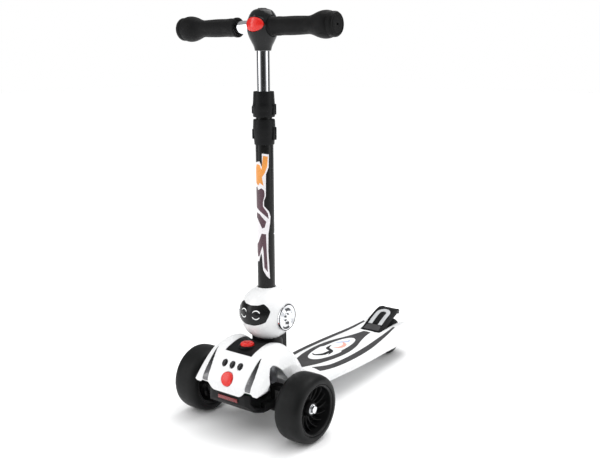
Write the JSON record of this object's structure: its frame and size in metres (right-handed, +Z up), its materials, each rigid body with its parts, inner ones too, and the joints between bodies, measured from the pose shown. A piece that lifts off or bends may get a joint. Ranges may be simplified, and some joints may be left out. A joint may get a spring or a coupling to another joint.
{
  "type": "kick scooter",
  "caption": "Child's three-wheel lean-to-steer kick scooter with a folding telescopic stem, a round toy head, push buttons, pull-out grips and a rear foot brake.",
  "frame": {"origin": "bottom centre of the outer box, on the ground", "axes": "+Z up, the scooter faces -Y and the foot brake is towards +Y, +X is the scooter's own left"},
  "size_m": [0.3398, 0.5748, 0.725],
  "materials": {
    "white_plastic": "smooth satin gloss",
    "black_plastic": "fine moulded texture",
    "gloss_black": "polished",
    "red_plastic": "smooth gloss",
    "chrome": "polished",
    "steel": "zinc plated",
    "black_tube": "gloss powder coat",
    "tyre_black": "smooth cast polyurethane",
    "grip_rubber": "soft matt",
    "deck_grip": "fine non-slip grain",
    "smoked_lens": "smoked, polished",
    "eye_white": "smooth",
    "reflector_red": "prismatic",
    "circuit": "sealed module"
  },
  "bodies": {
    "frame": {"deck_shell": "white_plastic", "deck_inlay_centre": "deck_grip", "deck_inlay_left": "deck_grip", "deck_inlay_right": "deck_grip", "lower_chassis": "black_plastic", "front_reflector": "reflector_red", "front_fairing": "white_plastic", "side_lens_left": "smoked_lens", "side_lens_right": "smoked_lens", "top_cover": "black_plastic", "steering_base": "steel", "lean_pin": "steel", "sound_module": "circuit", "rear_axle": "steel", "brake_pin": "steel", "brake_spring": "steel", "kingpin_left": "steel", "kingpin_right": "steel"},
    "steering": {"steering_yoke": "black_plastic", "fold_pin": "steel"},
    "stem": {"stem_foot": "steel", "lower_tube": "black_tube", "head_front_shell": "white_plastic", "head_rear_shell": "white_plastic", "head_visor": "gloss_black", "eye_ring_left": "eye_white", "eye_ring_right": "eye_white", "ear_left": "chrome", "ear_right": "chrome"},
    "lower_collar": {"lower_collar": "black_plastic"},
    "middle_stem": {"middle_tube": "black_tube"},
    "upper_collar": {"upper_collar": "black_plastic"},
    "handlebar": {"upper_tube": "chrome", "hub_shell": "black_plastic", "hub_cap": "gloss_black", "cross_tube": "chrome"},
    "hub_button": {"hub_button": "red_plastic"},
    "grip_left": {"grip_left": "grip_rubber"},
    "grip_right": {"grip_right": "grip_rubber"},
    "tie_rod": {"tie_rod": "steel"},
    "rear_wheel": {"rear_tyre": "tyre_black", "rear_rim": "black_plastic", "rear_bearing": "chrome"},
    "brake": {"brake_pedal": "black_plastic", "brake_grip": "deck_grip"},
    "power_button": {"power_button": "red_plastic"},
    "fold_button": {"fold_button": "red_plastic"},
    "mode_button_right": {"mode_button_right": "gloss_black"},
    "mode_button_middle": {"mode_button_middle": "gloss_black"},
    "mode_button_left": {"mode_button_left": "gloss_black"},
    "knuckle_left": {"knuckle_left": "black_plastic", "front_axle_left": "chrome"},
    "front_wheel_left": {"front_tyre_left": "tyre_black", "front_rim_left": "black_plastic", "front_bearing_left": "chrome"},
    "knuckle_right": {"knuckle_right": "black_plastic", "front_axle_right": "chrome"},
    "front_wheel_right": {"front_tyre_right": "tyre_black", "front_rim_right": "black_plastic", "front_bearing_right": "chrome"}
  },
  "joints": [
    {"name": "lean", "type": "hinge", "parent": "frame", "child": "steering", "pos_m": [0.0176, -0.18256, 0.11], "axis": [0, 1, 0], "range_deg": [-8, 8], "stiffness_Nm_per_rad": 60},
    {"name": "fold", "type": "hinge", "parent": "steering", "child": "stem", "pos_m": [0.0176, -0.17056, 0.134], "axis": [-1, 0, 0], "range_deg": [0, 85]},
    {"name": "lower_collar_twist", "type": "hinge", "parent": "stem", "child": "lower_collar", "pos_m": [0.0176, -0.17056, 0.52], "axis": [0, 0, 1], "range_deg": [0, 60]},
    {"name": "middle_tube_slide", "type": "slide", "parent": "stem", "child": "middle_stem", "axis": [0, 0, 1], "range_m": [0, 0.08]},
    {"name": "upper_collar_twist", "type": "hinge", "parent": "middle_stem", "child": "upper_collar", "pos_m": [0.0176, -0.17056, 0.566], "axis": [0, 0, 1], "range_deg": [0, 60]},
    {"name": "handlebar_slide", "type": "slide", "parent": "middle_stem", "child": "handlebar", "axis": [0, 0, 1], "range_m": [-0.066, 0.06]},
    {"name": "hub_button_press", "type": "slide", "parent": "handlebar", "child": "hub_button", "axis": [0, 1, 0], "range_m": [0, 0.0025], "stiffness_N_per_m": 400, "springref_m": -0.003},
    {"name": "grip_left_pull", "type": "slide", "parent": "handlebar", "child": "grip_left", "axis": [1, 0, 0], "range_m": [0, 0.036]},
    {"name": "grip_right_pull", "type": "slide", "parent": "handlebar", "child": "grip_right", "axis": [-1, 0, 0], "range_m": [-0.035, 0.01]},
    {"name": "steer_left", "type": "hinge", "parent": "frame", "child": "knuckle_left", "pos_m": [0.0956, -0.21256, 0.062], "axis": [0, 0, 1], "range_deg": [-15, 15]},
    {"name": "steer_right", "type": "hinge", "parent": "frame", "child": "knuckle_right", "pos_m": [-0.0604, -0.21256, 0.062], "axis": [0, 0, 1], "range_deg": [-15, 15]},
    {"name": "tie_rod_slide", "type": "slide", "parent": "frame", "child": "tie_rod", "axis": [1, 0, 0], "range_m": [-0.006, 0.006]},
    {"name": "front_wheel_left_spin", "type": "hinge", "parent": "knuckle_left", "child": "front_wheel_left", "pos_m": [0.1346, -0.21256, 0.06], "axis": [1, 0, 0], "continuous": true},
    {"name": "front_wheel_right_spin", "type": "hinge", "parent": "knuckle_right", "child": "front_wheel_right", "pos_m": [-0.0994, -0.21256, 0.06], "axis": [1, 0, 0], "continuous": true},
    {"name": "rear_wheel_spin", "type": "hinge", "parent": "frame", "child": "rear_wheel", "pos_m": [0.0176, 0.23944, 0.04], "axis": [1, 0, 0], "continuous": true},
    {"name": "brake_press", "type": "hinge", "parent": "frame", "child": "brake", "pos_m": [0.0176, 0.18044, 0.058], "axis": [-1, 0, 0], "range_deg": [0, 4.6], "stiffness_Nm_per_rad": 0.8, "springref_deg": -20.05, "deforming": ["brake_spring"]},
    {"name": "mode_button_right_press", "type": "slide", "parent": "frame", "child": "mode_button_right", "axis": [0, 0.788, -0.6157], "range_m": [0, 0.0012], "stiffness_N_per_m": 300, "springref_m": -0.002},
    {"name": "mode_button_middle_press", "type": "slide", "parent": "frame", "child": "mode_button_middle", "axis": [0, 0.788, -0.6157], "range_m": [0, 0.0012], "stiffness_N_per_m": 300, "springref_m": -0.002},
    {"name": "mode_button_left_press", "type": "slide", "parent": "frame", "child": "mode_button_left", "axis": [0, 0.788, -0.6157], "range_m": [0, 0.0012], "stiffness_N_per_m": 300, "springref_m": -0.002},
    {"name": "power_button_press", "type": "slide", "parent": "frame", "child": "power_button", "axis": [0, 0.9397, -0.342], "range_m": [0, 0.0015], "stiffness_N_per_m": 300, "springref_m": -0.003},
    {"name": "fold_button_press", "type": "slide", "parent": "frame", "child": "fold_button", "axis": [0, 0, -1], "range_m": [0, 0.003], "stiffness_N_per_m": 400, "springref_m": -0.003}
  ],
  "couplings": [
    {"joint": "steer_left", "follows": "lean", "ratio": 1.7619},
    {"joint": "steer_right", "follows": "lean", "ratio": 1.7619},
    {"joint": "tie_rod_slide", "follows": "lean", "m_per_rad": -0.037}
  ]
}
